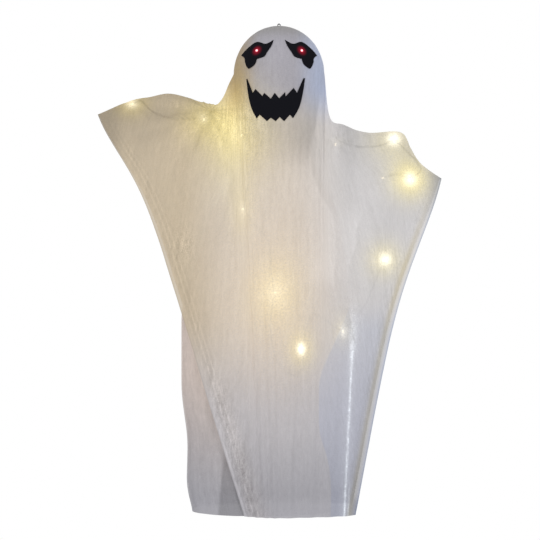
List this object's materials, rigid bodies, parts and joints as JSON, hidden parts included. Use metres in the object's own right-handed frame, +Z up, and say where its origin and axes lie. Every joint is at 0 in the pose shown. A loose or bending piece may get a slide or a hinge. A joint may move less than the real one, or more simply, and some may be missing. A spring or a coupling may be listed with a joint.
{
  "type": "hanging ghost prop",
  "caption": "Hanging ghost prop: gauze shroud over a moulded head and posable wire arms, felt face with lit eyes, fairy lights and a battery case.",
  "frame": {"origin": "centre of the hole in the hanging eye on top of the head", "axes": "+Z up, -Y the way the face looks, +X to the viewer's right when facing it"},
  "size_m": [0.8353, 0.2229, 1.1881],
  "materials": {
    "black_moulding": "satin",
    "zinc_steel": "satin",
    "shell_plastic": "matte",
    "black_felt": "matte",
    "red_lamp": "gloss",
    "black_rubber": "matte",
    "black_lead": "satin",
    "light_lead": "satin",
    "warm_bulb": "gloss",
    "cell_can": "satin",
    "switch_metal": "satin",
    "arm_coating": "satin",
    "soft_cap": "matte",
    "white_tie": "satin",
    "robe_gauze": "matte",
    "shroud_gauze": "matte"
  },
  "bodies": {
    "frame": {"hanger_eye": "black_moulding", "hanger_washer": "zinc_steel", "hanger_nut": "zinc_steel", "head_front_shell": "shell_plastic", "head_rear_shell": "shell_plastic", "left_eye_patch": "black_felt", "right_eye_patch": "black_felt", "mouth_patch": "black_felt", "left_eye_lamp": "red_lamp", "right_eye_lamp": "red_lamp", "lamp_grommets": "black_rubber", "eye_leads": "black_lead", "shoulder_plate": "shell_plastic", "plate_screws": "zinc_steel", "left_pivot_pin": "zinc_steel", "right_pivot_pin": "zinc_steel", "battery_case": "black_moulding", "case_screws": "zinc_steel", "batteries": "cell_can", "battery_contacts": "zinc_steel", "switch_body": "switch_metal", "chest_light_wire": "light_lead", "chest_lights": "warm_bulb", "robe_front": "robe_gauze", "robe_back": "robe_gauze", "left_shroud": "shroud_gauze", "right_shroud": "shroud_gauze"},
    "left_arm": {"left_arm_wire": "arm_coating", "left_hand_cap": "soft_cap", "left_light_wire": "light_lead", "left_lights": "warm_bulb", "left_wire_ties": "white_tie"},
    "right_arm": {"right_arm_wire": "arm_coating", "right_hand_cap": "soft_cap", "right_light_wire": "light_lead", "right_lights": "warm_bulb", "right_wire_ties": "white_tie"},
    "battery_cover": {"battery_cover": "black_moulding"},
    "switch": {"switch_slider": "soft_cap"}
  },
  "joints": [
    {"name": "left_arm_raise", "type": "hinge", "parent": "frame", "child": "left_arm", "pos_m": [-0.06, 0, -0.272], "axis": [0, 1, 0], "range_deg": [-35, 11], "deforming": ["left_shroud", "left_light_wire"]},
    {"name": "right_arm_raise", "type": "hinge", "parent": "frame", "child": "right_arm", "pos_m": [0.06, 0, -0.272], "axis": [0, -1, 0], "range_deg": [-11, 35], "deforming": ["right_shroud", "right_light_wire"]},
    {"name": "battery_cover_slide", "type": "slide", "parent": "frame", "child": "battery_cover", "axis": [0, 0, -1], "range_m": [0, 0.054]},
    {"name": "switch_slide", "type": "slide", "parent": "frame", "child": "switch", "axis": [1, 0, 0], "range_m": [0, 0.003]}
  ]
}
